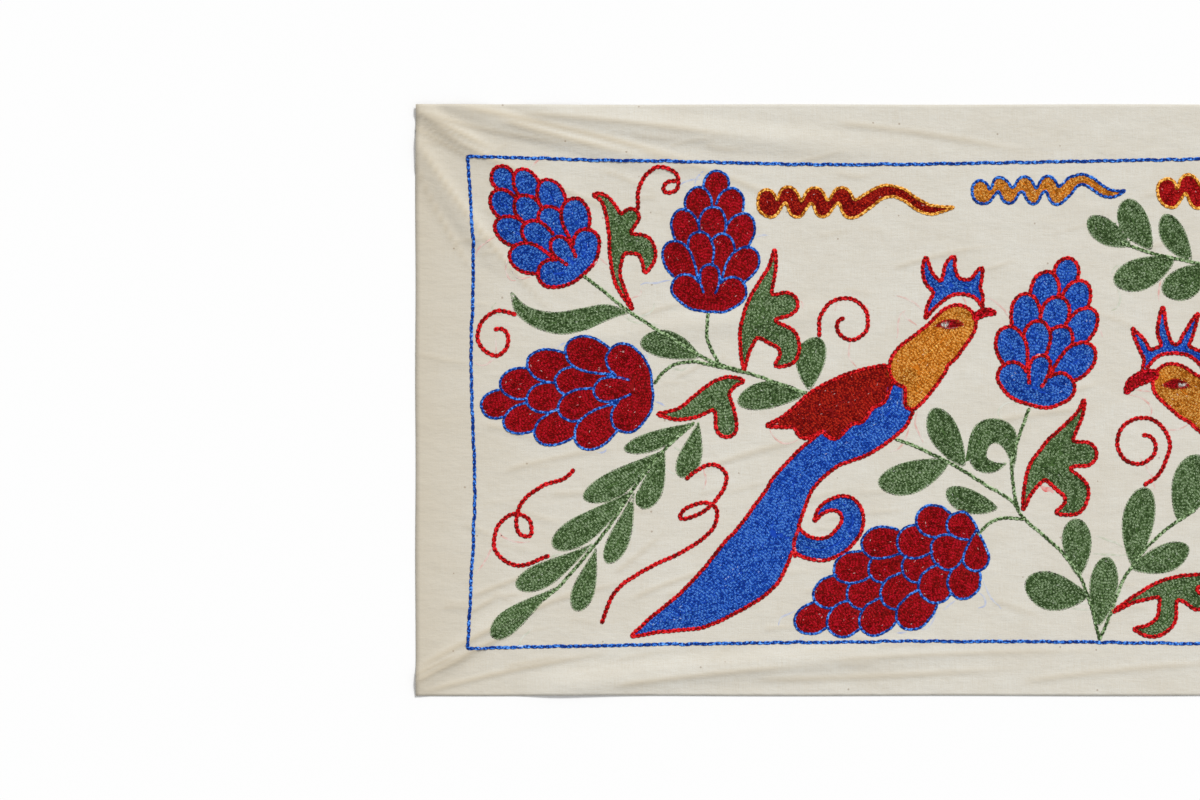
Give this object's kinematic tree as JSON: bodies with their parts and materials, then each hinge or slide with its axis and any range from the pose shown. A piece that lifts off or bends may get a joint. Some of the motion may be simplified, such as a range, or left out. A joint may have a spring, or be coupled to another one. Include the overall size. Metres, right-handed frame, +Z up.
{
  "type": "suzani embroidered textile",
  "caption": "Long cream cotton panel laid flat, chain stitched with two birds, grape clusters, leafy branches and a thin blue border line.",
  "frame": {"origin": "under the middle of the panel, on the surface that it lies on", "axes": "+X along the panel's length, +Y across it towards its upper long edge, +Z up through the embroidered face"},
  "size_m": [1.2002, 0.5005, 0.0044],
  "materials": {
    "cotton_ground": "matte plain-weave cotton with slubs",
    "thread_blue": "twisted cotton thread, slight sheen",
    "thread_red": "twisted cotton thread, slight sheen",
    "thread_green": "twisted cotton thread, slight sheen",
    "thread_ochre": "twisted cotton thread, slight sheen"
  },
  "bodies": {
    "root": {"ground_cloth": "cotton_ground"}
  },
  "joints": []
}
